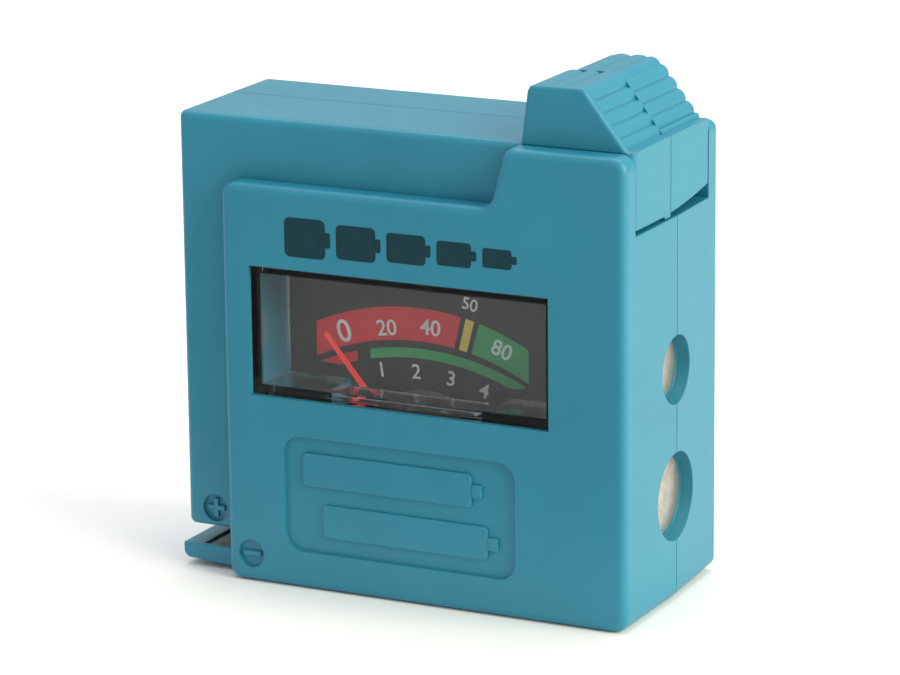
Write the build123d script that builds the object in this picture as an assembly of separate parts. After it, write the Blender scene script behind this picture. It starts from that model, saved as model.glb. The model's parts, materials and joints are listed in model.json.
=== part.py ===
"""Pocket battery tester: a meter in a two-shell case, with a jaw on a two-stage slide.

Millimetres, +Z up, +X to the right of someone reading the dial, +Y away from them.
The origin is the middle of the bounding box's bottom face.
"""
import math
import os

from build123d import *

# ---- outside of the case ----
OVERALL_WIDTH = 49.6
DEPTH = 23.0
TONGUE_REACH = 6.4          # how far the fixed jaw stands out to the left
TONGUE_TOP = 2.3
TONGUE_EDGE = 0.15           # rounding of its front edges
POCKET_FLOOR = 1.8          # floor of the fixed jaw's pocket, where its contact lies
SEAM_Y = 0.5                # where the two case shells meet
FRONT_PLATE = 2.3
REAR_PLATE = 2.6
LOW_TOP = 40.3              # top of the plates on the left
HIGH_TOP = 46.2             # top of the plates on the right
STEP_LOW_X = 10.6
STEP_HIGH_X = 12.2
LEDGE_TOP = 38.4            # floor of the slot that the top bar rests over
LEDGE = 1.5
BOTTOM_WALL = 1.6
RIGHT_WALL = 2.8
CORNER = 1.4
EDGE = 0.8
REAR_DRAFT_DEG = 2.6

RIGHT = OVERALL_WIDTH / 2
LEFT = -OVERALL_WIDTH / 2
BODY_LEFT = LEFT + TONGUE_REACH
FRONT = -DEPTH / 2
BACK = DEPTH / 2
CAVITY_FRONT = FRONT + FRONT_PLATE
CAVITY_BACK = BACK - REAR_PLATE
CAVITY_RIGHT = RIGHT - RIGHT_WALL

# ---- marks moulded into the case: nameplate as left, right, bottom, top ----
NAMEPLATE = (-11.9, 13.2, 3.8, 15.5)
NAMEPLATE_CORNER = 1.8
MARK_DEPTH = 0.45
MARK_R = 1.4
SIGN_REACH = 0.95           # half the length of a plus or minus sign's arm
SIGN_HALF = 0.24            # and half its width

# ---- sliding parts ----
RUN = 0.15                  # clearance on each sliding face
SLIDE_SEAM = -0.6           # where the two slides meet
TOP_SEAM = 1.0              # and where they meet on top of the bar, by a lip on the front one
LIP = 1.2
JAW_LEFT = LEFT + 0.55
SLIDE_RIGHT = RIGHT - 0.2
SLIDE_TOP = 46.4
SLIDE_EDGE = 0.7
BAR_BOTTOM = 38.8
LEG_BOTTOM = 4.2
LEG_RIGHT = BODY_LEFT + 1.8
FOOT_TOP = 9.0              # top of the jaw foot behind the leg
PLATE_BOTTOM = 2.2
PLATE_FRONT = 4.2
PLATE_RIGHT = 17.2
REAR_TRAVEL = 29.0
FRONT_TRAVEL = 19.0
CARRIER_BOTTOM = FOOT_TOP + FRONT_TRAVEL + 0.2      # lower end of the block beside the leg
THUMB_LEFT = 12.7           # left end of the ribbed thumb piece
THUMB = [(12.85, 46.2), (13.6, 51.95), (19.35, 52.05), (23.95, 46.2)]
THUMB_EDGE = 0.4            # rounding of its plain front end
THUMB_CAP = 0.7             # thickness of that end, as high as the ribs
RIB_SPACES = (4, 3, 5)      # ribs along its left side, top and slope
RIB_RISE = (0.14, 0.19, 0.31)
# left and right of each pocket under the bar
CORE_POCKETS = ((-14.5, -6.0), (-4.6, 3.6), (5.0, 11.8))
CORE_SKIN = 1.4             # wall left round them
RAIL_X = -21.5
RAIL_TOP = SLIDE_TOP - 2.0
LEG_BACK = SLIDE_SEAM - 0.05
CARRIER_FRONT = SLIDE_SEAM + 0.05
SLIDE_FRONT = CAVITY_FRONT + RUN
SLIDE_BACK = CAVITY_BACK - RUN

# ---- meter ----
WINDOW = (-15.4, 16.8, 19.15, 32.2)     # left, right, bottom, top
METER = (-15.5, 16.9, 18.1, 33.4)
LOBE = (-8.8, 8.8, 3.4)                 # left, right and bottom of the part round the movement
PIVOT_X = 0.0
PIVOT_Z = 12.2
DIAL_Y = -3.5
METER_BACK = 3.9
METER_WALL = 0.6
PANE_FRONT = FRONT + 0.3    # the clear front stands in the window, just below the case's face
PANE_BACK = FRONT + 1.6
SHELF_BACK = -6.3           # back edge of the clear shelf below the window
CLEAR_WALL = 0.7
SHELF = 0.9                 # thickness of the clear walls above and below the view
VIEW_DRAFT_DEG = 2.5
REST_DEG = -39.6            # needle at rest, measured from straight up, clockwise positive
NEEDLE_LENGTH = 16.1
NEEDLE_Y = -5.0
YOKE_R = 7.1                # soft-iron ring
GAP_R = 5.7                 # inside of the ring, where the coil turns
CORE_R = 4.0                # magnet inside the coil
SHAFT_R = 0.45
PIVOT_R = 0.3               # thin end of the shaft, in a jewel
JEWEL_HOLE_R = 0.36

# ---- nine-volt snap contacts, in the right side, centred on the seam ----
SNAP_LOW_Z = 10.55
SNAP_PITCH = 12.7
SNAP_LARGE_R = 4.4
SNAP_SMALL_R = 3.4
SNAP_DEPTH = 1.5
STUD_MARGIN = 0.2           # ring of plastic round each stud's seat
SEAM_GROOVE = 0.12          # depth and width of the groove where the shells meet

# ---- screws: x and z of each, and the y where its two bosses meet ----
SCREWS = [(-11.0, 35.9, METER_BACK), (20.1, 34.3, SEAM_Y), (20.1, 3.95, SEAM_Y)]
BOSS_R = 2.0
SCREW_R = 0.9
SCREW_HEAD_R = 1.7
HEAD_SINK = 1.3


def block(x0, x1, y0, y1, z0, z1):
    """A box between two corners."""
    centre = Pos((x0 + x1) / 2, (y0 + y1) / 2, (z0 + z1) / 2)
    return centre * Box(x1 - x0, y1 - y0, z1 - z0)


def rod_y(x, z, y0, y1, radius):
    """A round rod that runs front to back."""
    return Pos(x, (y0 + y1) / 2, z) * Rot(90, 0, 0) * Cylinder(radius, y1 - y0)


def rod_x(y, z, x0, x1, radius):
    """A round rod that runs left to right."""
    return Pos((x0 + x1) / 2, y, z) * Rot(0, 90, 0) * Cylinder(radius, x1 - x0)


def outline(points, rounded=()):
    """A face in the X-Z plane, with the corners named in rounded given a radius."""
    face = make_face(Polyline(*points, close=True).edges())
    for (x, z), radius in rounded:
        corner = face.vertices().sort_by_distance(Vector(x, z, 0))[0]
        face = fillet(corner, radius)
    return face


def prism(face, y0, y1):
    """A face drawn in X and Z, made solid from y0 back to y1."""
    return extrude(Plane.XZ.offset(-y1) * face, amount=y1 - y0)


def prism_back(face, y0, y1, draft_deg):
    """A face drawn in X and Z, made solid from y0 back to y1, narrowing as it goes."""
    looking_back = Plane(origin=(0, y0, 0), x_dir=(-1, 0, 0), z_dir=(0, 1, 0))
    return extrude(looking_back * mirror(face, Plane.YZ), amount=y1 - y0, taper=draft_deg)


def frame_box(box, y0, y1, inset=0.0):
    """A block from a (left, right, bottom, top) box, drawn in by an inset."""
    left, right, bottom, top = box
    return block(left + inset, right - inset, y0, y1, bottom + inset, top - inset)


def plate_outline():
    """The stepped outline of the case, low on the left and high on the right."""
    points = [
        (BODY_LEFT, 0), (RIGHT, 0), (RIGHT, HIGH_TOP),
        (STEP_HIGH_X, HIGH_TOP), (STEP_LOW_X, LOW_TOP), (BODY_LEFT, LOW_TOP),
    ]
    return outline(points, [(corner, CORNER) for corner in points])


def lower_outline():
    """The walls below the ledge."""
    points = [(BODY_LEFT, 0), (RIGHT, 0), (RIGHT, LEDGE_TOP), (BODY_LEFT, LEDGE_TOP)]
    return outline(points, [(points[0], CORNER), (points[1], CORNER)])


def tongue_outline():
    """The fixed jaw, seen from the front."""
    points = [
        (BODY_LEFT + 1.2, 0.25), (LEFT, 0.75), (LEFT, TONGUE_TOP), (BODY_LEFT + 1.2, TONGUE_TOP),
    ]
    return outline(points, [(points[1], 0.8), (points[2], 0.2)])


def snap_recess(height, radius):
    """The cut for one nine-volt snap contact, open on the right, with a seat for its stud."""
    floor = RIGHT - SNAP_DEPTH
    recess = rod_x(SEAM_Y, height, floor, RIGHT + 1, radius)
    seat = rod_x(SEAM_Y, height, floor - 0.4, floor, radius - STUD_MARGIN)
    shank = rod_x(SEAM_Y, height, CAVITY_RIGHT - 1, RIGHT, 0.9)
    return recess + seat + shank


def case_cuts():
    """What both shells give up: the fixed jaw's pocket and the snap recesses."""
    pocket = block(LEFT + 2.2, BODY_LEFT + 2, CAVITY_FRONT + 0.35, CAVITY_BACK - 0.6,
                   POCKET_FLOOR, LEG_BOTTOM)
    large = snap_recess(SNAP_LOW_Z, SNAP_LARGE_R)
    small = snap_recess(SNAP_LOW_Z + SNAP_PITCH, SNAP_SMALL_R)
    return pocket + large + small


def polarity_mark(x, z, face_y, plus):
    """A round recess to cut, and the raised sign that stands in it."""
    recess = rod_y(x, z, face_y, face_y + MARK_DEPTH, MARK_R)
    y0 = face_y + 0.1
    y1 = face_y + MARK_DEPTH + 0.05
    sign = block(x - SIGN_REACH, x + SIGN_REACH, y0, y1, z - SIGN_HALF, z + SIGN_HALF)
    if plus:
        sign += block(x - SIGN_HALF, x + SIGN_HALF, y0, y1, z - SIGN_REACH, z + SIGN_REACH)
    return recess, sign


def front_case():
    """The front shell: window plate, floor, right wall, ledge and the front of the tongue."""
    plate = prism(plate_outline(), FRONT, CAVITY_FRONT)
    plate = fillet(plate.faces().sort_by(Axis.Y)[0].edges(), EDGE)
    walls = prism(lower_outline(), CAVITY_FRONT, SEAM_Y)
    walls -= block(LEFT, CAVITY_RIGHT, CAVITY_FRONT, SEAM_Y, BOTTOM_WALL, LEDGE_TOP - LEDGE)
    walls -= block(LEFT, LEG_RIGHT + 0.2, CAVITY_FRONT, SEAM_Y, BOTTOM_WALL, LEDGE_TOP)
    tongue = prism(tongue_outline(), CAVITY_FRONT, SEAM_Y)
    tongue_front = tongue.faces().sort_by(Axis.Y)[0]
    outer_edges = tongue_front.edges().filter_by(lambda edge: edge.center().X < BODY_LEFT)
    shell = plate + walls + fillet(outer_edges, TONGUE_EDGE)
    ceiling_right = PLATE_RIGHT - 0.2
    shell += block(LEG_RIGHT + 0.2, ceiling_right, SEAM_Y, METER_BACK, LEDGE_TOP - LEDGE, LEDGE_TOP)
    inner_wall = block(LEG_RIGHT + 0.2, METER[0] - 0.1, CAVITY_FRONT, METER_BACK,
                       BOTTOM_WALL, LEDGE_TOP)
    shell += inner_wall
    shell += block(BODY_LEFT, LEG_RIGHT + 0.2, CARRIER_FRONT + 0.1, SEAM_Y,
                   BOTTOM_WALL, CARRIER_BOTTOM - 0.3)
    for x, z, meet_y in SCREWS:
        shell += rod_y(x, z, CAVITY_FRONT, meet_y, BOSS_R)
        shell -= rod_y(x, z, CAVITY_FRONT + 1, meet_y, SCREW_R - 0.1)
    shell -= frame_box(WINDOW, FRONT, CAVITY_FRONT)
    left, right, bottom, top = NAMEPLATE
    corners = [(left, bottom), (right, bottom), (right, top), (left, top)]
    nameplate = outline(corners, [(corner, NAMEPLATE_CORNER) for corner in corners])
    shell -= prism(nameplate, FRONT, FRONT + MARK_DEPTH)
    shell -= case_cuts()
    shell -= block(BODY_LEFT, METER[0], -2.5, 2.5, POCKET_FLOOR, POCKET_FLOOR + 0.9)
    recess, sign = polarity_mark(BODY_LEFT + 2.65, 2.85, FRONT, plus=False)
    return shell - recess + sign


def rear_case():
    """The rear shell: back plate, floor, both side walls and the back of the tongue."""
    shell = prism_back(plate_outline(), SEAM_Y, BACK, REAR_DRAFT_DEG)
    shell = fillet(shell.faces().sort_by(Axis.Y)[-1].edges(), EDGE)
    shell -= block(LEG_RIGHT, PLATE_RIGHT + 0.2, SEAM_Y, CAVITY_BACK, BOTTOM_WALL, HIGH_TOP + 1)
    shell -= block(PLATE_RIGHT + 1.0, CAVITY_RIGHT, SEAM_Y, CAVITY_BACK,
                   BOTTOM_WALL, LEDGE_TOP - LEDGE)
    shell -= block(LEFT, LEG_RIGHT, SEAM_Y, CAVITY_BACK, CARRIER_BOTTOM - 0.2, HIGH_TOP + 1)
    shell -= block(PLATE_RIGHT, RIGHT + 1, SEAM_Y, CAVITY_BACK, LEDGE_TOP, HIGH_TOP + 1)
    shell += prism(tongue_outline(), SEAM_Y, CAVITY_BACK)
    for x, z, meet_y in SCREWS:
        shell += rod_y(x, z, meet_y, CAVITY_BACK, BOSS_R)
        shell -= rod_y(x, z, SEAM_Y, BACK, SCREW_R + 0.15)
        shell -= rod_y(x, z, BACK - HEAD_SINK, BACK, SCREW_HEAD_R + 0.15)
    shell -= case_cuts()
    shell -= block(RIGHT - SEAM_GROOVE, RIGHT + 1, SEAM_Y, SEAM_Y + SEAM_GROOVE,
                   -1, HIGH_TOP + 1)
    wire_gap = block(PLATE_RIGHT, PLATE_RIGHT + 1.5, SEAM_Y, 3.5, 15.5, 19.0)
    return shell - wire_gap


def case_screws():
    """Three self-tapping screws, put in from the back."""
    screws = []
    for x, z, _ in SCREWS:
        screw = rod_y(x, z, CAVITY_FRONT + 2.2, BACK - HEAD_SINK, SCREW_R - 0.1)
        head = rod_y(x, z, BACK - HEAD_SINK, BACK - 0.3, SCREW_HEAD_R)
        cross = block(x - 1.0, x + 1.0, BACK - 0.8, BACK, z - 0.2, z + 0.2)
        cross += block(x - 0.2, x + 0.2, BACK - 0.8, BACK, z - 1.0, z + 1.0)
        screws.append(screw + head - cross)
    return Compound(screws)


def meter_shape(y0, y1, inset=0.0):
    """The meter's outline: a wide box behind the window, and a lobe below it."""
    lobe_left, lobe_right, lobe_bottom = LOBE
    lobe = block(lobe_left + inset, lobe_right - inset, y0, y1, lobe_bottom + inset, METER[2] + 2)
    return frame_box(METER, y0, y1, inset) + lobe


def meter_cover():
    """The clear front of the meter: a pane that stands in the window, on a box with a lobe."""
    back = DIAL_Y - 0.05
    body = meter_shape(SLIDE_FRONT - 0.1, back)
    body += frame_box(WINDOW, PANE_FRONT, SLIDE_FRONT, 0.1)
    left, right, bottom, top = WINDOW
    view = outline([
        (left + CLEAR_WALL, bottom + SHELF), (right - CLEAR_WALL, bottom + SHELF),
        (right - CLEAR_WALL, top - SHELF), (left + CLEAR_WALL, top - SHELF),
    ])
    body -= prism_back(view, PANE_BACK, back, -VIEW_DRAFT_DEG)
    lobe_left, lobe_right, lobe_bottom = LOBE
    movement_room = (lobe_left, lobe_right, lobe_bottom, bottom + METER_WALL)
    body -= frame_box(movement_room, SLIDE_FRONT + 0.9, back, METER_WALL)
    needle_gap = (lobe_left, lobe_right, lobe_bottom, bottom + 2)
    return body - frame_box(needle_gap, SHELF_BACK, back, METER_WALL)


def meter_tray():
    """The meter's back half, which holds the movement and the dial."""
    hollow_back = METER_BACK - 0.9
    body = meter_shape(DIAL_Y, METER_BACK) - meter_shape(DIAL_Y, hollow_back, METER_WALL)
    for x in (METER[0] + 1.6, METER[1] - 1.6):
        body += rod_y(x, METER[3] - 2.4, DIAL_Y + 0.4, hollow_back, 0.9)
        body += rod_y(x, METER[2] + 2.4, DIAL_Y + 0.4, hollow_back, 0.9)
    seat = rod_y(PIVOT_X, PIVOT_Z, 1.4, hollow_back, YOKE_R)
    seat -= rod_y(PIVOT_X, PIVOT_Z, 1.4, hollow_back, GAP_R)
    return body + seat - rod_y(PIVOT_X, PIVOT_Z, hollow_back - 1, METER_BACK, 1.25)


def dial_plate():
    """The scale plate behind the window."""
    gap = METER_WALL + 0.1
    plate = frame_box(METER, DIAL_Y, DIAL_Y + 0.4, gap)
    return plate - rod_y(PIVOT_X, PIVOT_Z, DIAL_Y, DIAL_Y + 0.4, YOKE_R + 0.3)


def meter_yoke():
    """The soft-iron ring round the coil."""
    ring = rod_y(PIVOT_X, PIVOT_Z, -3.0, 1.4, YOKE_R)
    return ring - rod_y(PIVOT_X, PIVOT_Z, -3.0, 1.4, GAP_R)


def core_magnet():
    """The magnet inside the coil."""
    core = rod_y(PIVOT_X, PIVOT_Z, -2.8, 1.0, CORE_R)
    return core - rod_y(PIVOT_X, PIVOT_Z, -2.8, 1.0, 0.6)


def core_spacers():
    """Two brass blocks that hold the core in the ring, above and below it."""
    gap = rod_y(PIVOT_X, PIVOT_Z, -2.6, 0.8, GAP_R) - rod_y(PIVOT_X, PIVOT_Z, -2.6, 0.8, CORE_R)
    strip = block(PIVOT_X - 1.0, PIVOT_X + 1.0, -2.6, 0.8, PIVOT_Z - 6, PIVOT_Z + 6)
    return gap & strip


def front_bridge():
    """The bar across the front of the movement, on two posts."""
    bar = block(-YOKE_R, YOKE_R, -7.4, -6.6, PIVOT_Z - 1.3, PIVOT_Z + 1.3)
    for x in (-6.4, 6.4):
        bar += rod_y(x, PIVOT_Z, -6.8, -3.0, 0.6)
    return bar - rod_y(PIVOT_X, PIVOT_Z, -7.4, -6.6, 1.0)


def jewel_screw(y_head, y_tip):
    """A bearing screw with a blind hole for the pivot in its tip."""
    away = 1 if y_tip > y_head else -1
    y0, y1 = sorted((y_head, y_tip))
    body = rod_y(PIVOT_X, PIVOT_Z, y0, y1, 1.0)
    y0, y1 = sorted((y_tip, y_tip - 0.7 * away))
    body -= rod_y(PIVOT_X, PIVOT_Z, y0, y1, JEWEL_HOLE_R)
    y0, y1 = sorted((y_head, y_head + 0.3 * away))
    return body - block(PIVOT_X - 1, PIVOT_X + 1, y0, y1, PIVOT_Z - 0.15, PIVOT_Z + 0.15)


def rear_jewel():
    """The rear bearing, pressed into the tray."""
    body = rod_y(PIVOT_X, PIVOT_Z, 2.4, METER_BACK, 1.25)
    return body - rod_y(PIVOT_X, PIVOT_Z, 2.4, 3.1, JEWEL_HOLE_R)


def turned(solid, degrees):
    """A solid turned about the pivot, clockwise from the front."""
    pivot = Pos(PIVOT_X, 0, PIVOT_Z)
    return pivot * Rot(0, degrees, 0) * pivot.inverse() * solid


def pivot_shaft():
    """The shaft that the coil and needle turn on."""
    shaft = rod_y(PIVOT_X, PIVOT_Z, -6.1, -3.3, SHAFT_R)
    shaft += rod_y(PIVOT_X, PIVOT_Z, 1.3, 2.1, SHAFT_R)
    shaft += rod_y(PIVOT_X, PIVOT_Z, -3.4, 1.4, 0.4)
    shaft += rod_y(PIVOT_X, PIVOT_Z, -6.5, -6.0, PIVOT_R)
    return shaft + rod_y(PIVOT_X, PIVOT_Z, 2.0, 2.9, PIVOT_R)


def moving_coil():
    """A rectangular coil round the core magnet, at its rest angle."""
    reach = 5.3
    side = 0.7
    outer = block(-reach, reach, -3.9, 2.0, PIVOT_Z - 0.8, PIVOT_Z + 0.8)
    inner = block(side - reach, reach - side, -3.3, 1.4, PIVOT_Z - 0.8, PIVOT_Z + 0.8)
    coil = outer - inner - rod_y(PIVOT_X, PIVOT_Z, -3.9, 2.0, SHAFT_R)
    return turned(coil, REST_DEG)


def needle():
    """The pointer, with a collar round the shaft."""
    half = 0.3
    tip = 0.22
    blade = outline([
        (PIVOT_X - half, PIVOT_Z), (PIVOT_X + half, PIVOT_Z),
        (PIVOT_X + tip, PIVOT_Z + NEEDLE_LENGTH), (PIVOT_X - tip, PIVOT_Z + NEEDLE_LENGTH),
    ])
    pointer = prism(blade, NEEDLE_Y - 0.12, NEEDLE_Y + 0.12)
    pointer += rod_y(PIVOT_X, PIVOT_Z, NEEDLE_Y - 0.4, NEEDLE_Y + 0.4, 1.0)
    pointer -= rod_y(PIVOT_X, PIVOT_Z, NEEDLE_Y - 0.4, NEEDLE_Y + 0.4, SHAFT_R)
    return turned(pointer, REST_DEG)


def balance_weights():
    """Two wire arms with weights, which balance the needle."""
    y0 = NEEDLE_Y + 0.45
    y1 = NEEDLE_Y + 0.85
    arms = rod_y(PIVOT_X, PIVOT_Z, y0, y1, 0.9) - rod_y(PIVOT_X, PIVOT_Z, y0, y1, SHAFT_R)
    for side in (-1, 1):
        arm = Pos(PIVOT_X, (y0 + y1) / 2, PIVOT_Z) * Rot(0, 180 + side * 40, 0)
        arms += arm * Pos(0, 0, 2.5) * Box(0.35, y1 - y0, 3.6)
        arms += arm * Pos(0, 0, 3.6) * Cylinder(0.7, 1.4)
    return turned(arms, REST_DEG)


def spiral(turns, r0, r1):
    """A smooth spiral in X and Z, from r0 out to r1."""
    points = []
    steps = int(turns * 12)
    for step in range(steps + 1):
        angle = 2 * math.pi * turns * step / steps
        radius = r0 + (r1 - r0) * step / steps
        points.append((radius * math.cos(angle), radius * math.sin(angle)))
    return Spline(*points)


def hairspring(y, turns, r1):
    """A flat spiral spring, with a collar on the shaft."""
    r0 = 0.9
    half = 0.15
    inner = spiral(turns, r0, r1)
    outer = spiral(turns, r0 + 0.14, r1 + 0.14)
    ends = [Line(inner @ 0, outer @ 0), Line(inner @ 1, outer @ 1)]
    band = make_face([inner.edge(), outer.edge(), ends[0].edge(), ends[1].edge()])
    spring = prism(Pos(PIVOT_X, PIVOT_Z) * band, y - half, y + half)
    collar = rod_y(PIVOT_X, PIVOT_Z, y - half, y + half, r0 + 0.05)
    return spring + collar - rod_y(PIVOT_X, PIVOT_Z, y - half, y + half, SHAFT_R)


def snap_contact(height, radius):
    """A plated stud in the right wall, its face level with the recess's floor."""
    floor = RIGHT - SNAP_DEPTH
    stud = rod_x(SEAM_Y, height, floor - 0.35, floor - 0.02, radius)
    rim = stud.faces().sort_by(Axis.X)[-1].edges()
    stud = fillet(rim, 0.12)
    stud += rod_x(SEAM_Y, height, CAVITY_RIGHT - 0.3, floor - 0.35, 0.85)
    return stud + rod_x(SEAM_Y, height, CAVITY_RIGHT - 0.6, CAVITY_RIGHT, 1.4)


def minus_contact():
    """The leaf in the tongue's pocket, which runs in under the jaw."""
    low = POCKET_FLOOR + 0.02
    leaf = block(LEFT + 2.25, BODY_LEFT - 0.1, CAVITY_FRONT + 0.4, CAVITY_BACK - 0.65,
                 low, low + 0.25)
    leaf += block(BODY_LEFT - 1, METER[0] + 1.5, -2.2, 2.2, low, low + 0.25)
    dome = Pos(LEFT + 4.3, 0, low - 1.95) * Sphere(2.5)
    return leaf + (dome & block(LEFT + 2, BODY_LEFT, -3, 3, low + 0.2, low + 2))


def base_wiper():
    """The leaf that carries the slide's contact rail to the meter."""
    foot = block(-14.8, -13.6, -2.0, 3.2, LEDGE_TOP - LEDGE - 0.3, LEDGE_TOP - LEDGE)
    arm = block(-14.8, -13.6, 2.9, 3.2, 34.4, LEDGE_TOP - LEDGE)
    return foot + arm + block(-14.8, -13.6, 2.9, 4.05, 34.1, 34.4)


def resistor(x, z, length, radius):
    """An axial resistor lying front to back, with its two wires."""
    y0 = -2.6 - length / 2
    y1 = -2.6 + length / 2
    body = rod_y(x, z, y0, y1, radius)
    body = fillet(body.edges().filter_by(GeomType.CIRCLE), radius * 0.35)
    return body + rod_y(x, z, y0 - 1.6, y0 + 0.4, 0.28) + rod_y(x, z, y1 - 0.4, y1 + 1.6, 0.28)


def between(start, end, part):
    """The point part of the way from start to end."""
    return (start[0] + (end[0] - start[0]) * part, start[1] + (end[1] - start[1]) * part)


def groove_bottoms(corners, shift):
    """The grooves along the thumb piece, with the rise of the rib that ends at each one."""
    grooves = [(corners[0], 0.0)]
    for index, count in enumerate(RIB_SPACES):
        for rib in range(count):
            part = (rib + 1 - shift) / count
            grooves.append((between(corners[index], corners[index + 1], part), RIB_RISE[index]))
    if shift:
        grooves.append((corners[-1], RIB_RISE[-1]))
    return grooves


def ribbed_outline(corners, shift):
    """The thumb piece seen from the front, its ribs round-topped between the grooves."""
    grooves = groove_bottoms(corners, shift)
    edges = []
    for (start, _), (end, rise) in zip(grooves, grooves[1:]):
        along = Vector(end[0] - start[0], end[1] - start[1]).normalized()
        middle = between(start, end, 0.5)
        crest = (middle[0] - along.Y * rise, middle[1] + along.X * rise)
        edges.append(ThreePointArc(start, crest, end).edge())
    edges.append(Line(corners[-1], corners[0]).edge())
    return make_face(edges)


def thumb_grooves():
    """The corners of the thumb piece at the bottom of its grooves, seen from the front."""
    left, top, slope = RIB_RISE
    low_left, high_left, high_right, low_right = THUMB
    return [
        (low_left[0] + left, low_left[1]), (high_left[0] + left, high_left[1] - top),
        (high_right[0] - slope * 0.85, high_right[1] - top), (low_right[0] - slope * 1.3, low_right[1]),
    ]


def thumb(y0, y1, shift):
    """The ribbed thumb piece from y0 to y1."""
    return prism(ribbed_outline(thumb_grooves(), shift), y0, y1)


def thumb_cap(y_front):
    """The plain front end of the thumb piece, as high as its ribs, with rounded edges."""
    crest = outline(THUMB, [(THUMB[1], 0.9), (THUMB[2], 0.6)])
    cap = prism(crest, y_front, y_front + THUMB_CAP)
    front_face = cap.faces().sort_by(Axis.Y)[0]
    upper = front_face.edges().filter_by(lambda edge: edge.center().Z > THUMB[0][1] + 0.1)
    return fillet(upper, THUMB_EDGE)


def slide_body(y0, y1, leg_end, bar_end):
    """The inverted L that each slide starts from: a leg on the left, a bar over the meter."""
    points = [
        (JAW_LEFT, leg_end), (LEG_RIGHT, leg_end), (LEG_RIGHT, bar_end),
        (SLIDE_RIGHT, bar_end), (SLIDE_RIGHT, SLIDE_TOP), (JAW_LEFT, SLIDE_TOP),
    ]
    soft = [(points[0], SLIDE_EDGE), (points[5], SLIDE_EDGE)]
    return prism(outline(points, soft), y0, y1)


def cored(solid, y0, y1, bottom, top):
    """Pockets under the bar, which keep its walls thin."""
    for x0, x1 in CORE_POCKETS:
        solid -= block(x0, x1, y0 + CORE_SKIN, y1 - CORE_SKIN, bottom, top)
    return solid


def lip(clearance):
    """The front slide's lip over the rear one, on top of the bar."""
    room = block(JAW_LEFT - 1, THUMB_LEFT, LEG_BACK, TOP_SEAM + clearance,
                 SLIDE_TOP - LIP - clearance, SLIDE_TOP + 1)
    return room & slide_body(LEG_BACK - 1, SLIDE_BACK, LEG_BOTTOM, BAR_BOTTOM)


def rail(x, y_face, grow, z0, z1):
    """The T-shaped guide between the two slides."""
    neck = block(x - 0.8 - grow, x + 0.8 + grow, y_face - 1.2, y_face, z0, z1)
    head = block(x - 1.7 - grow, x + 1.7 + grow, y_face - 2.4 - grow, y_face - 1.2 + grow, z0, z1)
    return neck + head


def front_slide():
    """The moving jaw: leg, foot, front of the top bar and front of the thumb piece."""
    body = slide_body(SLIDE_FRONT, LEG_BACK, LEG_BOTTOM, BAR_BOTTOM)
    body = fillet(body.faces().sort_by(Axis.Y)[0].edges(), SLIDE_EDGE)
    body = cored(body, SLIDE_FRONT, LEG_BACK, BAR_BOTTOM, SLIDE_TOP - CORE_SKIN)
    body += lip(0.0)
    body += thumb_cap(SLIDE_FRONT) + thumb(SLIDE_FRONT + THUMB_EDGE, LEG_BACK, 0.0)
    foot = block(JAW_LEFT, BODY_LEFT - 0.25, LEG_BACK - 1, SLIDE_BACK, LEG_BOTTOM, FOOT_TOP)
    back_edges = foot.faces().sort_by(Axis.Y)[-1].edges()
    body += fillet(back_edges, 0.5)
    body += block(SLIDE_RIGHT - 1.2, SLIDE_RIGHT, LEG_BACK - 1.3, LEG_BACK,
                  LEDGE_TOP + 0.1, BAR_BOTTOM)
    body -= rail(RAIL_X, LEG_BACK, 0.12, FOOT_TOP + 0.1, RAIL_TOP + 0.3)
    body -= block(JAW_LEFT + 0.7, BODY_LEFT - 0.7, -6.2, 6.2, LEG_BOTTOM, LEG_BOTTOM + 0.6)
    body -= block(LEG_RIGHT - 1.9, LEG_RIGHT - 0.7, LEG_BACK - 0.35, LEG_BACK, LEG_BOTTOM, 45.0)
    body -= block(LEG_RIGHT - 3.2, LEG_RIGHT - 0.7, -2.2, LEG_BACK, LEG_BOTTOM, LEG_BOTTOM + 0.6)
    recess, sign = polarity_mark(BODY_LEFT - 2.7, 6.2, SLIDE_FRONT, plus=True)
    return body - recess + sign


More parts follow.
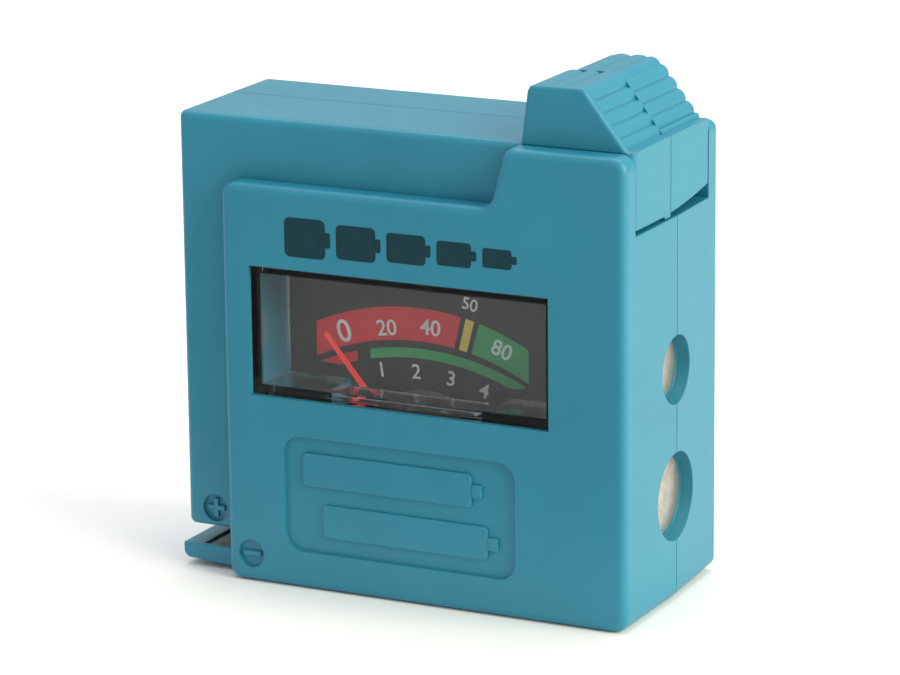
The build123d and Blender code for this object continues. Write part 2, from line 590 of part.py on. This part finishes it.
def rear_slide():
    """The carrier: plate behind the meter, guide block, back of the bar and thumb piece."""
    bar_end = BAR_BOTTOM + 0.1
    arch_end = bar_end + 1.2
    body = slide_body(CARRIER_FRONT, SLIDE_BACK, CARRIER_BOTTOM, bar_end)
    body = fillet(body.faces().sort_by(Axis.Y)[-1].edges(), SLIDE_EDGE)
    body = cored(body, CARRIER_FRONT, PLATE_FRONT, bar_end, SLIDE_TOP - LIP - CORE_SKIN)
    body -= lip(0.08)
    body += block(LEG_RIGHT + 0.2, PLATE_RIGHT, PLATE_FRONT, SLIDE_BACK, PLATE_BOTTOM, SLIDE_TOP - 1)
    body += block(LEG_RIGHT - 1, LEG_RIGHT + 1, PLATE_FRONT, SLIDE_BACK,
                  CARRIER_BOTTOM, SLIDE_TOP - 1)
    body += thumb(CARRIER_FRONT, SLIDE_BACK - THUMB_EDGE, 0.5)
    body += rail(RAIL_X, CARRIER_FRONT, 0.0, CARRIER_BOTTOM, RAIL_TOP)
    arch = ThreePointArc((CARRIER_FRONT, bar_end), (4.5, bar_end + 0.5), (SLIDE_BACK, arch_end))
    below = Polyline((SLIDE_BACK, arch_end), (SLIDE_BACK, bar_end - 1),
                     (CARRIER_FRONT, bar_end - 1), (CARRIER_FRONT, bar_end))
    under = make_face([arch.edge(), *below.edges()])
    body -= extrude(Plane.YZ.offset(PLATE_RIGHT) * under, amount=SLIDE_RIGHT + 1 - PLATE_RIGHT)
    x, z, _ = SCREWS[0]
    slot_r = BOSS_R + 0.2
    body -= block(x - slot_r, x + slot_r, PLATE_FRONT, SLIDE_BACK, z - REAR_TRAVEL, z)
    body -= rod_y(x, z, PLATE_FRONT, SLIDE_BACK, slot_r)
    body -= rod_y(x, z - REAR_TRAVEL, PLATE_FRONT, SLIDE_BACK, slot_r)
    body -= block(-15.1, -13.7, PLATE_FRONT, PLATE_FRONT + 0.35, PLATE_BOTTOM, LEDGE_TOP)
    body -= block(-18.8, -13.7, CARRIER_FRONT, PLATE_FRONT + 0.35, 30.0, 31.2)
    return body


def plus_contact():
    """The moving jaw's contact: a plate under the foot, and a rail up the back of the leg."""
    z0 = LEG_BOTTOM + 0.3
    plate = block(JAW_LEFT + 0.75, BODY_LEFT - 0.75, -6.1, 6.1, z0, z0 + 0.3)
    link = block(BODY_LEFT - 1.0, LEG_RIGHT - 0.8, -2.1, LEG_BACK, z0, z0 + 0.3)
    strip = block(LEG_RIGHT - 1.8, LEG_RIGHT - 0.8, LEG_BACK - 0.3, LEG_BACK, z0, 44.8)
    return plate + link + strip


def slide_rail():
    """The carrier's contact: a finger on the leg's rail, and its own rail down the plate."""
    finger = block(LEG_RIGHT - 1.8, LEG_RIGHT - 0.8, CARRIER_FRONT + 0.05, PLATE_FRONT, 30.2, 31.0)
    link = block(LEG_RIGHT - 1.8, -13.8, PLATE_FRONT - 0.3, PLATE_FRONT + 0.3, 30.2, 31.0)
    strip = block(-15.0, -13.8, PLATE_FRONT + 0.05, PLATE_FRONT + 0.3, PLATE_BOTTOM, LEDGE_TOP - 0.4)
    return finger + link + strip


NODES = {
    "front_case": front_case(),
    "rear_case": rear_case(),
    "case_screws": case_screws(),
    "meter_cover": meter_cover(),
    "meter_tray": meter_tray(),
    "dial_plate": dial_plate(),
    "meter_yoke": meter_yoke(),
    "core_magnet": core_magnet(),
    "core_spacers": core_spacers(),
    "front_bridge": front_bridge(),
    "front_jewel_screw": jewel_screw(-7.9, -6.2),
    "rear_jewel": rear_jewel(),
    "pivot_shaft": pivot_shaft(),
    "moving_coil": moving_coil(),
    "needle": needle(),
    "balance_weights": balance_weights(),
    "front_hairspring": hairspring(-5.7, 3.0, 2.7),
    "rear_hairspring": hairspring(2.2, 2.5, 2.2),
    "large_snap_contact": snap_contact(SNAP_LOW_Z, SNAP_LARGE_R - STUD_MARGIN - 0.05),
    "small_snap_contact": snap_contact(SNAP_LOW_Z + SNAP_PITCH, SNAP_SMALL_R - STUD_MARGIN - 0.05),
    "minus_contact": minus_contact(),
    "base_wiper": base_wiper(),
    "cell_resistor": resistor(-12.2, 8.0, 6.4, 1.25),
    "button_resistor": resistor(-12.2, 12.5, 5.0, 0.95),
    "nine_volt_resistor": resistor(13.0, 8.0, 6.4, 1.25),
    "front_slide": front_slide(),
    "rear_slide": rear_slide(),
    "plus_contact": plus_contact(),
    "slide_rail": slide_rail(),
}

os.makedirs("parts", exist_ok=True)
for name, solid in NODES.items():
    export_step(solid, f"parts/{name}.step")
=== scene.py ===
import json
import math

import bmesh
import bpy
from mathutils import Matrix, Vector


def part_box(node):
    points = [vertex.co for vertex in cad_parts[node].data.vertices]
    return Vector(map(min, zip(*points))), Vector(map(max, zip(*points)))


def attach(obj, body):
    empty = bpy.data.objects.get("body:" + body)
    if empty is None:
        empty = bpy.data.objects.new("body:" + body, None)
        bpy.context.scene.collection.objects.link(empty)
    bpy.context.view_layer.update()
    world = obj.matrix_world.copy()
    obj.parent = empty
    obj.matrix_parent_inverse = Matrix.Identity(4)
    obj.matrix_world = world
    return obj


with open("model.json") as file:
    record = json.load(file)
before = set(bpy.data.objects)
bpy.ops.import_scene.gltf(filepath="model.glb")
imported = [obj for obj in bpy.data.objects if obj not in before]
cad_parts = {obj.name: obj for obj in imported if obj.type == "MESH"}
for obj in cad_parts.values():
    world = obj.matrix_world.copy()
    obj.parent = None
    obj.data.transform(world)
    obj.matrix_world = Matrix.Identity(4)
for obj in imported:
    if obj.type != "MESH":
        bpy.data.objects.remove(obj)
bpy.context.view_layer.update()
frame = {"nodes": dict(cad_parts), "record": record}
MM = 0.001

# ---- where things are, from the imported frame, in millimetres ----
FACE_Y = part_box("front_case")[0].y / MM
DIAL_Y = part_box("dial_plate")[0].y / MM
INK = 0.03                  # thickness of a printed mark

# ---- dial print: circles as (centre x, centre z, radius) ----
BAND_OUTER = (-0.88, 1.97, 25.75)
BAND_INNER = (-0.73, -0.69, 25.08)
THIN_OUTER = (-0.58, -2.76, 26.37)
THIN_INNER = (-0.58, -2.76, 25.40)
# Each band between the two large circles: ink, then the x of its top left, top right,
# bottom right and bottom left corners.
DIAL_BANDS = {
    "dial_red_band": ("red", (-12.0, 3.92, 3.17, -12.0)),
    "dial_yellow_bar": ("yellow", (4.46, 5.35, 4.52, 3.68)),
    "dial_green_band": ("green", (5.90, 11.18, 11.18, 5.05)),
}
# The thin arc for button cells: its ends, the corner in its right end, and the right of its lower edge.
BUTTON_ARC_LEFT = -6.04
BUTTON_ARC_RIGHT = 10.91
BUTTON_ARC_CORNER = (10.30, 20.72)
BUTTON_ARC_LOWER_RIGHT = 9.1
# The red mark left of it: its left, its right, and the left of its lower edge.
BUTTON_MARK = (-11.6, -7.5, -9.4)
# Each number: name, text, x, z, height and tilt in degrees.
DIAL_NUMBERS = [
    ("dial_number_0", "0", -8.9, 24.45, 2.3, -18),
    ("dial_number_20", "20", -4.2, 25.3, 1.6, -8),
    ("dial_number_40", "40", 0.6, 25.8, 1.6, 2),
    ("dial_number_50", "50", 4.9, 28.6, 1.25, 11),
    ("dial_number_80", "80", 8.3, 24.4, 1.6, 21),
    ("dial_number_low_1", "1", -4.8, 21.0, 1.5, -9),
    ("dial_number_low_2", "2", -1.0, 21.2, 1.5, -1),
    ("dial_number_low_3", "3", 2.8, 20.9, 1.5, 8),
    ("dial_number_low_4", "4", 6.4, 20.1, 1.5, 15),
]
TYPE_SIZE = 1.4             # size of the type for each unit of a number's height
TYPE_WEIGHT = 0.012         # and how far its outline is thickened
WELD = 0.0001               # points of a number closer than this, in millimetres, are one

# ---- raised cells in the nameplate recess: left, right and middle of each ----
NAMEPLATE_DEPTH = 0.45
RELIEF_CELLS = [(-9.9, 9.6, 12.2), (-7.8, 11.3, 7.1)]
RELIEF_HALF = 1.7           # half a cell's height
RELIEF_NUB = 1.1
RELIEF_RISE = 0.32          # how far they stand out of the recess's floor
RELIEF_ROOT = 0.1           # and how far they go into it
RELIEF_EDGE = 0.15

# ---- a drawn cell: roundings and half the nub's height, for half the cell's height ----
CELL_CORNER = 0.3
NUB_HALF = 0.4
NUB_CORNER = 0.12
NUB_OVERLAP = 0.02          # how far the nub goes into the cell, in millimetres

# ---- printed row of cells above the window: length and half the height of each ----
FACE_CELLS = [(5.0, 1.95), (4.8, 1.7), (4.7, 1.45), (4.2, 1.2), (3.6, 0.95)]
FACE_ROW_LEFT = -11.3
FACE_ROW_Z = 35.5
FACE_NUB = 0.55
FACE_GAP = 0.65
FACE_ROOT = 0.02            # how far the print goes into the case

# ---- camera, in millimetres and degrees ----
CAMERA_AT = Vector((187.24, -370.80, 132.65))
YAW_DEG = 26.706
PITCH_DEG = 14.676
ROLL_DEG = -0.613
LENS_MM = 174.59
SENSOR_MM = 36.0
NEAREST = 0.01              # what the camera shows, from and to, in metres
FARTHEST = 10.0

# ---- floor and light, in metres and watts ----
FLOOR_SIZE = 6
FLOOR_Z = -0.00005          # just under the tester, so that no two faces coincide
FLOOR_GREY = (0.86, 0.86, 0.86, 1)
CARD_AT = (-0.08, -0.27, 0.0005)
CARD_SIZE = (0.55, 0.48, 1)
CARD_GREY = (0.10, 0.10, 0.11, 1)
SURROUND = 0.70
LIGHT_TARGET = (0, 0, 0.024)
# Each soft box: name, place, side, power and colour.
SOFT_BOXES = [
    ("right box", (0.55, -0.07, 0.28), 0.45, 4.2, (1.0, 1.0, 0.78)),
    ("top box", (-0.05, 0.12, 0.6), 0.5, 2.1, (1.0, 1.0, 1.0)),
]


# ------------------------------------------------------------------ materials

PLASTIC_EDGE = 0.18         # radius that softens the edges, in millimetres
CLEAR_EDGE = 0.15
METAL_EDGE = 0.08
RESISTOR_ENDS = (-5.0, -0.2)    # y of a resistor body's front and back, in millimetres
RESISTOR_BAND = 0.09        # width of a colour band, as a part of the body's length


def new_material(name, **sockets):
    """A material with its Principled shader's own sockets set: (material, nodes, links, shader)."""
    material = bpy.data.materials.new(name)
    material.use_nodes = True
    nodes = material.node_tree.nodes
    shader = nodes["Principled BSDF"]
    for socket, value in sockets.items():
        shader.inputs[socket.replace("_", " ")].default_value = value
    return material, nodes, material.node_tree.links, shader


def add_node(nodes, kind, **values):
    """A node of one kind, with its inputs or properties set by name."""
    node = nodes.new(kind)
    for key, value in values.items():
        socket = node.inputs.get(key.replace("_", " "))
        if socket is not None:
            socket.default_value = value
        else:
            setattr(node, key, value)
    return node


def object_space(nodes, links, stretch=(1, 1, 1)):
    """Object coordinates in millimetres, each axis times its stretch."""
    coordinates = add_node(nodes, "ShaderNodeTexCoord")
    mapping = add_node(nodes, "ShaderNodeMapping")
    mapping.inputs["Scale"].default_value = [factor / MM for factor in stretch]
    links.new(coordinates.outputs["Object"], mapping.inputs["Vector"])
    return mapping.outputs["Vector"]


def noise(nodes, links, vector, per_mm, detail=3.0, roughness=0.55):
    """A noise texture with a number of features for each millimetre."""
    texture = add_node(nodes, "ShaderNodeTexNoise", Scale=per_mm, Detail=detail, Roughness=roughness)
    links.new(vector, texture.inputs["Vector"])
    return texture.outputs["Fac"]


def ramp(nodes, links, value, stops):
    """A colour ramp through (position, colour) stops."""
    node = add_node(nodes, "ShaderNodeValToRGB")
    elements = node.color_ramp.elements
    while len(elements) < len(stops):
        elements.new(0.5)
    for element, (position, colour) in zip(elements, stops):
        element.position = position
        element.color = (*colour, 1)
    links.new(value, node.inputs["Fac"])
    return node.outputs["Color"]


def remap(nodes, links, value, low, high):
    """A value from 0..1 mapped to low..high."""
    node = add_node(nodes, "ShaderNodeMapRange")
    node.inputs["To Min"].default_value = low
    node.inputs["To Max"].default_value = high
    links.new(value, node.inputs["Value"])
    return node.outputs["Result"]


def bump(nodes, links, height, distance_mm, strength, normal=None):
    """A bump from a height, over a normal if one is given."""
    node = add_node(nodes, "ShaderNodeBump", Strength=strength)
    node.inputs["Distance"].default_value = distance_mm * MM
    links.new(height, node.inputs["Height"])
    if normal is not None:
        links.new(normal, node.inputs["Normal"])
    return node.outputs["Normal"]


def soft_edges(nodes, radius_mm):
    """A normal that rounds every sharp edge by a radius."""
    return add_node(nodes, "ShaderNodeBevel", Radius=radius_mm * MM, samples=6).outputs["Normal"]


def shade(colour, factor):
    """A colour made darker or lighter."""
    return tuple(min(1.0, channel * factor) for channel in colour)


def moulded_plastic(name, colour, roughness=0.38):
    """Injection-moulded plastic: faint flow mottling, a fine spark-eroded grain, softened edges."""
    material, nodes, links, shader = new_material(name, IOR=1.5)
    space = object_space(nodes, links)
    flow = noise(nodes, links, space, per_mm=0.06, detail=4)
    links.new(ramp(nodes, links, flow, [(0.3, shade(colour, 0.94)), (0.7, shade(colour, 1.05))]),
              shader.inputs["Base Color"])
    fine = noise(nodes, links, space, per_mm=6.0, detail=2)
    wear = noise(nodes, links, space, per_mm=0.5, detail=5, roughness=0.7)
    links.new(remap(nodes, links, wear, roughness - 0.05, roughness + 0.07), shader.inputs["Roughness"])
    links.new(bump(nodes, links, fine, distance_mm=0.012, strength=0.25,
                   normal=soft_edges(nodes, PLASTIC_EDGE)), shader.inputs["Normal"])
    return material


def clear_plastic(name, tint):
    """Clear polished plastic that lets the lamps through."""
    material, nodes, links, shader = new_material(
        name, Roughness=0.03, IOR=1.49, Transmission_Weight=1.0)
    space = object_space(nodes, links)
    haze = noise(nodes, links, space, per_mm=0.15, detail=3)
    links.new(ramp(nodes, links, haze, [(0.3, shade(tint, 0.97)), (0.7, tint)]),
              shader.inputs["Base Color"])
    ripple = noise(nodes, links, space, per_mm=0.35, detail=2)
    links.new(bump(nodes, links, ripple, distance_mm=0.002, strength=0.15,
                   normal=soft_edges(nodes, CLEAR_EDGE)), shader.inputs["Normal"])
    lamp_ray = add_node(nodes, "ShaderNodeLightPath")
    through = add_node(nodes, "ShaderNodeBsdfTransparent", Color=(*tint, 1))
    either = add_node(nodes, "ShaderNodeMixShader")
    links.new(lamp_ray.outputs["Is Shadow Ray"], either.inputs["Fac"])
    links.new(shader.outputs["BSDF"], either.inputs[1])
    links.new(through.outputs["BSDF"], either.inputs[2])
    links.new(either.outputs["Shader"], nodes["Material Output"].inputs["Surface"])
    return material


def printed_ink(name, colour, roughness=0.55):
    """Printed ink: a fine dot grain and a slightly uneven film."""
    material, nodes, links, shader = new_material(name, IOR=1.45)
    space = object_space(nodes, links)
    film = noise(nodes, links, space, per_mm=1.5, detail=4)
    links.new(ramp(nodes, links, film, [(0.3, shade(colour, 0.9)), (0.7, shade(colour, 1.08))]),
              shader.inputs["Base Color"])
    links.new(remap(nodes, links, film, roughness - 0.08, roughness + 0.08), shader.inputs["Roughness"])
    dots = noise(nodes, links, space, per_mm=9.0, detail=1)
    links.new(bump(nodes, links, dots, distance_mm=0.006, strength=0.2), shader.inputs["Normal"])
    return material


def paint_with_painted_glow(name, colour, glow):
    """Paint with a painted glow: it gives off red light of its own, whatever falls on it, so it looks
    brighter in the dim meter.
    """
    material = printed_ink(name, colour, 0.35)
    shader = material.node_tree.nodes["Principled BSDF"]
    shader.inputs["Emission Color"].default_value = (*colour, 1)
    shader.inputs["Emission Strength"].default_value = glow
    return material


def metal(name, colour, roughness=0.3, brushed=(1, 1, 1)):
    """Plain or plated metal with faint tarnish, brushed along an axis if it is stretched."""
    material, nodes, links, shader = new_material(name, Metallic=1.0)
    space = object_space(nodes, links)
    tarnish = noise(nodes, links, space, per_mm=0.7, detail=5, roughness=0.65)
    links.new(ramp(nodes, links, tarnish, [(0.35, shade(colour, 0.72)), (0.6, colour)]),
              shader.inputs["Base Color"])
    links.new(remap(nodes, links, tarnish, roughness + 0.12, roughness - 0.06), shader.inputs["Roughness"])
    strokes = noise(nodes, links, object_space(nodes, links, brushed), per_mm=4.0, detail=3)
    links.new(bump(nodes, links, strokes, distance_mm=0.01, strength=0.3,
                   normal=soft_edges(nodes, METAL_EDGE)), shader.inputs["Normal"])
    return material


def turned_metal(name, colour, turned_node):
    """Plated metal with faint rings, as a lathe leaves them, round a CAD node's middle."""
    low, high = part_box(turned_node)
    middle = (low + high) / 2
    material = metal(name, colour, 0.42)
    nodes, links = material.node_tree.nodes, material.node_tree.links
    coordinates = add_node(nodes, "ShaderNodeTexCoord")
    centred = add_node(nodes, "ShaderNodeMapping", vector_type="TEXTURE")
    centred.inputs["Location"].default_value = (0, middle.y, middle.z)
    centred.inputs["Scale"].default_value = (MM, MM, MM)
    links.new(coordinates.outputs["Object"], centred.inputs["Vector"])
    rings = add_node(nodes, "ShaderNodeTexWave", wave_type="RINGS", rings_direction="X",
                     Scale=0.75, Distortion=0.6, Detail=2.0)
    links.new(centred.outputs["Vector"], rings.inputs["Vector"])
    shader = nodes["Principled BSDF"]
    under = shader.inputs["Normal"].links[0].from_socket
    links.new(bump(nodes, links, rings.outputs["Fac"], distance_mm=0.02, strength=0.3, normal=under),
              shader.inputs["Normal"])
    return material


def resistor_body(name, colour, bands):
    """A lacquered resistor body with colour bands round it, front to back."""
    material, nodes, links, shader = new_material(name, Roughness=0.3, Coat_Weight=0.5)
    coordinates = add_node(nodes, "ShaderNodeTexCoord")
    split = add_node(nodes, "ShaderNodeSeparateXYZ")
    links.new(coordinates.outputs["Object"], split.inputs["Vector"])
    along = add_node(nodes, "ShaderNodeMapRange")
    along.inputs["From Min"].default_value = RESISTOR_ENDS[0] * MM
    along.inputs["From Max"].default_value = RESISTOR_ENDS[1] * MM
    links.new(split.outputs["Y"], along.inputs["Value"])
    stops = [(0.0, colour)]
    for place, band in bands:
        stops += [(place, band), (place + RESISTOR_BAND, colour)]
    painted = ramp(nodes, links, along.outputs["Result"], stops)
    painted.node.color_ramp.interpolation = "CONSTANT"
    links.new(painted, shader.inputs["Base Color"])
    fine = noise(nodes, links, object_space(nodes, links), per_mm=3.0)
    links.new(bump(nodes, links, fine, distance_mm=0.02, strength=0.3), shader.inputs["Normal"])
    return material


TURQUOISE = (0.014, 0.200, 0.305)
NICKEL = (0.70, 0.62, 0.55)

MATERIALS = {
    "case_plastic": moulded_plastic("case plastic", TURQUOISE),
    "clear_plastic": clear_plastic("clear cover", (0.93, 0.96, 0.98)),
    "meter_plastic": moulded_plastic("meter plastic", (0.03, 0.03, 0.035), roughness=0.5),
    "dial_print": printed_ink("dial ground", (0.014, 0.012, 0.014)),
    "soft_iron": metal("soft iron", (0.42, 0.42, 0.43), 0.42, brushed=(1, 0.1, 1)),
    "brass": metal("brass", (0.72, 0.52, 0.24), 0.28, brushed=(0.1, 1, 1)),
    "spring_bronze": metal("spring bronze", (0.68, 0.45, 0.24), 0.25),
    "steel": metal("plated steel", (0.55, 0.56, 0.58), 0.3, brushed=(1, 0.1, 1)),
    "copper": metal("enamelled copper", (0.70, 0.28, 0.12), 0.3, brushed=(1, 0.1, 1)),
    # the needle's paint glows a little: painted light, though the needle is no lamp
    "needle_paint": paint_with_painted_glow("needle paint", (0.90, 0.03, 0.03), 0.25),
    "nickel_plate": metal("nickel plate", NICKEL, 0.38, brushed=(1, 0.15, 1)),
    "resistor_body": resistor_body("resistor lacquer", (0.45, 0.30, 0.17),
                                   [(0.15, (0.02, 0.15, 0.35)), (0.35, (0.35, 0.02, 0.02)),
                                    (0.55, (0.02, 0.02, 0.02)), (0.80, (0.6, 0.4, 0.1))]),
}
# CAD nodes with a material of their own, instead of their slot's
ONE_NODE = {
    "large_snap_contact": turned_metal("large snap plating", NICKEL, "large_snap_contact"),
    "small_snap_contact": turned_metal("small snap plating", NICKEL, "small_snap_contact"),
    # the minus contact's nickel is far darker than the other nickel: painted shade for the shadow it lies
    # in within its pocket
    "minus_contact": metal("nickel darkened as painted shade", (0.20, 0.22, 0.24), 0.45, brushed=(1, 0.15, 1)),
}
PRINTS = {
    "red": printed_ink("red print", (0.78, 0.020, 0.035)),
    "yellow": printed_ink("yellow print", (0.85, 0.60, 0.10)),
    "green": printed_ink("green print", (0.030, 0.38, 0.12)),
    "white": printed_ink("white print", (0.80, 0.79, 0.82)),
    "dark": printed_ink("dark print", (0.002, 0.036, 0.052), 0.35),
}


def dress_cad():
    """Gives every CAD node its own procedural material, or that of its slot."""
    for part in frame["record"]["subparts"]:
        node = frame["nodes"][part["node"]]
        node.data.materials.clear()
        node.data.materials.append(ONE_NODE.get(part["node"], MATERIALS[part["material_slot"]]))


# ------------------------------------------------------------------ mesh pieces

def new_piece(name, builder, material):
    """A mesh object from a bmesh, with its material, on the tester's base."""
    mesh = bpy.data.meshes.new(name)
    builder.to_mesh(mesh)
    builder.free()
    piece = bpy.data.objects.new(name, mesh)
    bpy.context.collection.objects.link(piece)
    mesh.materials.append(material)
    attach(piece, "base")
    return piece


def add_slab(builder, outline, y_front, y_back):
    """A closed slab in a bmesh, from an outline in x and z millimetres, between two y."""
    front = [builder.verts.new((x * MM, y_front * MM, z * MM)) for x, z in outline]
    back = [builder.verts.new((x * MM, y_back * MM, z * MM)) for x, z in outline]
    builder.faces.new(front)
    builder.faces.new(back[::-1])
    count = len(outline)
    for index in range(count):
        following = (index + 1) % count
        builder.faces.new((front[following], front[index], back[index], back[following]))


def slab_piece(name, outlines, y_front, y_back, material, bevel_mm=0.0):
    """One piece made of slabs, with rounded edges if a bevel is given."""
    builder = bmesh.new()
    for outline in outlines:
        add_slab(builder, outline, y_front, y_back)
    bmesh.ops.recalc_face_normals(builder, faces=builder.faces)
    piece = new_piece(name, builder, material)
    if bevel_mm:
        rounding = piece.modifiers.new("round", "BEVEL")
        rounding.width = bevel_mm * MM
        rounding.segments = 3
        rounding.limit_method = "ANGLE"
        rounding.angle_limit = math.radians(50)


def arc_points(circle, x_from, x_to, steps=24):
    """Points along the upper half of a circle, between two x."""
    centre_x, centre_z, radius = circle
    points = []
    for step in range(steps + 1):
        x = x_from + (x_to - x_from) * step / steps
        points.append((x, centre_z + math.sqrt(radius ** 2 - (x - centre_x) ** 2)))
    return points


def band(corners):
    """A curved band between the two large circles, with straight ends, from the x of its corners."""
    top_left, top_right, bottom_right, bottom_left = corners
    return arc_points(BAND_OUTER, top_left, top_right) + arc_points(BAND_INNER, bottom_right, bottom_left)


def rounded_box(left, right, bottom, top, radius, steps=6):
    """The outline of a rectangle with rounded corners."""
    corners = [(right - radius, top - radius, 0), (left + radius, top - radius, 90),
               (left + radius, bottom + radius, 180), (right - radius, bottom + radius, 270)]
    points = []
    for centre_x, centre_z, start in corners:
        for step in range(steps + 1):
            angle = math.radians(start + 90 * step / steps)
            points.append((centre_x + radius * math.cos(angle), centre_z + radius * math.sin(angle)))
    return points


def number_piece(name, text, x, z, height, tilt_deg):
    """A printed number, centred at x and z on the dial."""
    curve = bpy.data.curves.new(name, "FONT")
    curve.body = text
    curve.align_x = "CENTER"
    curve.align_y = "CENTER"
    curve.size = TYPE_SIZE * height * MM
    curve.extrude = INK / 2 * MM
    curve.offset = TYPE_WEIGHT * height * MM
    letter = bpy.data.objects.new(name + "_curve", curve)
    bpy.context.collection.objects.link(letter)
    bpy.context.view_layer.update()
    evaluated = letter.evaluated_get(bpy.context.evaluated_depsgraph_get())
    mesh = bpy.data.meshes.new_from_object(evaluated)
    bpy.data.objects.remove(letter)
    turn = Matrix.Rotation(math.radians(tilt_deg), 4, "Y") @ Matrix.Rotation(math.radians(90), 4, "X")
    place = Matrix.Translation(Vector((x, DIAL_Y - 1.5 * INK, z)) * MM)
    mesh.transform(place @ turn)
    mesh.materials.clear()
    builder = bmesh.new()
    builder.from_mesh(mesh)
    bpy.data.meshes.remove(mesh)
    bmesh.ops.remove_doubles(builder, verts=builder.verts, dist=WELD * MM)
    bmesh.ops.recalc_face_normals(builder, faces=builder.faces)
    new_piece(name, builder, PRINTS["white"])


def dial_print():
    """The coloured bands of the scale, with their numbers."""
    outlines = {name: (ink, band(corners)) for name, (ink, corners) in DIAL_BANDS.items()}
    outlines["dial_button_arc"] = (
        "green", arc_points(THIN_OUTER, BUTTON_ARC_LEFT, BUTTON_ARC_RIGHT) + [BUTTON_ARC_CORNER]
        + arc_points(THIN_INNER, BUTTON_ARC_LOWER_RIGHT, BUTTON_ARC_LEFT))
    left, right, lower_left = BUTTON_MARK
    outlines["dial_button_mark"] = (
        "red", arc_points(THIN_OUTER, left, right) + arc_points(THIN_INNER, right, lower_left))
    for name, (ink, outline) in outlines.items():
        slab_piece(name, [outline], DIAL_Y - INK, DIAL_Y, PRINTS[ink])
    for number in DIAL_NUMBERS:
        number_piece(*number)


def cell_shape(left, right, middle, half, nub):
    """The outline of a round cell on its side, its nub at the right, as two outlines."""
    end = right - nub
    body = rounded_box(left, end, middle - half, middle + half, half * CELL_CORNER)
    tip = rounded_box(end - NUB_OVERLAP, right, middle - half * NUB_HALF, middle + half * NUB_HALF,
                      half * NUB_CORNER)
    return [body, tip]


def nameplate_relief():
    """Raised cells on their sides in the nameplate recess."""
    floor = FACE_Y + NAMEPLATE_DEPTH
    outlines = []
    for left, right, middle in RELIEF_CELLS:
        outlines += cell_shape(left, right, middle, RELIEF_HALF, RELIEF_NUB)
    slab_piece("nameplate_relief", outlines, floor - RELIEF_RISE, floor + RELIEF_ROOT,
               MATERIALS["case_plastic"], bevel_mm=RELIEF_EDGE)


def face_print():
    """A printed row of cells, large to small, above the window."""
    outlines = []
    left = FACE_ROW_LEFT
    for length, half in FACE_CELLS:
        outlines += cell_shape(left, left + length, FACE_ROW_Z, half, FACE_NUB)
        left += length + FACE_GAP
    slab_piece("face_print", outlines, FACE_Y - INK, FACE_Y + FACE_ROOT, PRINTS["dark"])


# ------------------------------------------------------------------ camera, floor, light

def make_camera():
    """The camera at the viewing angle."""
    data = bpy.data.cameras.new("camera")
    data.lens = LENS_MM
    data.sensor_width = SENSOR_MM
    data.clip_start = NEAREST
    data.clip_end = FARTHEST
    camera = bpy.data.objects.new("camera", data)
    bpy.context.collection.objects.link(camera)
    yaw, pitch, roll = (math.radians(angle) for angle in (YAW_DEG, PITCH_DEG, ROLL_DEG))
    forward = Vector((-math.sin(yaw) * math.cos(pitch), math.cos(yaw) * math.cos(pitch), -math.sin(pitch)))
    level = Vector((math.cos(yaw), math.sin(yaw), 0))
    raised = level.cross(forward)
    right = level * math.cos(roll) + raised * math.sin(roll)
    up = raised * math.cos(roll) - level * math.sin(roll)
    turn = Matrix((right, up, -forward)).transposed().to_4x4()
    camera.matrix_world = Matrix.Translation(CAMERA_AT * MM) @ turn
    bpy.context.scene.camera = camera


def make_floor():
    """A plain pale floor."""
    bpy.ops.mesh.primitive_plane_add(size=FLOOR_SIZE, location=(0, 0, FLOOR_Z))
    floor = bpy.context.object
    floor.name = "floor"
    floor.data.materials.append(new_material("pale floor", Roughness=0.9, Base_Color=FLOOR_GREY)[0])


def make_reflection_card():
    """A dark card in front, which only reflections show."""
    bpy.ops.mesh.primitive_plane_add(size=1, location=CARD_AT)
    card = bpy.context.object
    card.name = "reflection_card"
    card.scale = CARD_SIZE
    card.data.materials.append(new_material("dark card", Roughness=0.9, Base_Color=CARD_GREY)[0])
    card.visible_camera = False
    card.visible_diffuse = False
    card.visible_shadow = False
    card.visible_transmission = False


def soft_box(name, place, side, power, colour):
    """A square soft box at a place, facing the tester."""
    data = bpy.data.lights.new(name, "AREA")
    data.size = side
    data.energy = power
    data.color = colour
    lamp = bpy.data.objects.new(name, data)
    bpy.context.collection.objects.link(lamp)
    lamp.location = place
    aim = Vector(LIGHT_TARGET) - Vector(place)
    lamp.rotation_mode = "QUATERNION"
    lamp.rotation_quaternion = aim.to_track_quat("-Z", "Y")


def make_light():
    """A pale surround and two soft boxes, the one on the right a little warm."""
    world = bpy.data.worlds.new("surround")
    bpy.context.scene.world = world
    world.use_nodes = True
    background = world.node_tree.nodes["Background"]
    background.inputs["Color"].default_value = (1, 1, 1, 1)
    background.inputs["Strength"].default_value = SURROUND
    for box in SOFT_BOXES:
        soft_box(*box)
    bpy.context.scene.view_settings.view_transform = "Standard"


dress_cad()
dial_print()
nameplate_relief()
face_print()
make_camera()
make_floor()
make_reflection_card()
make_light()
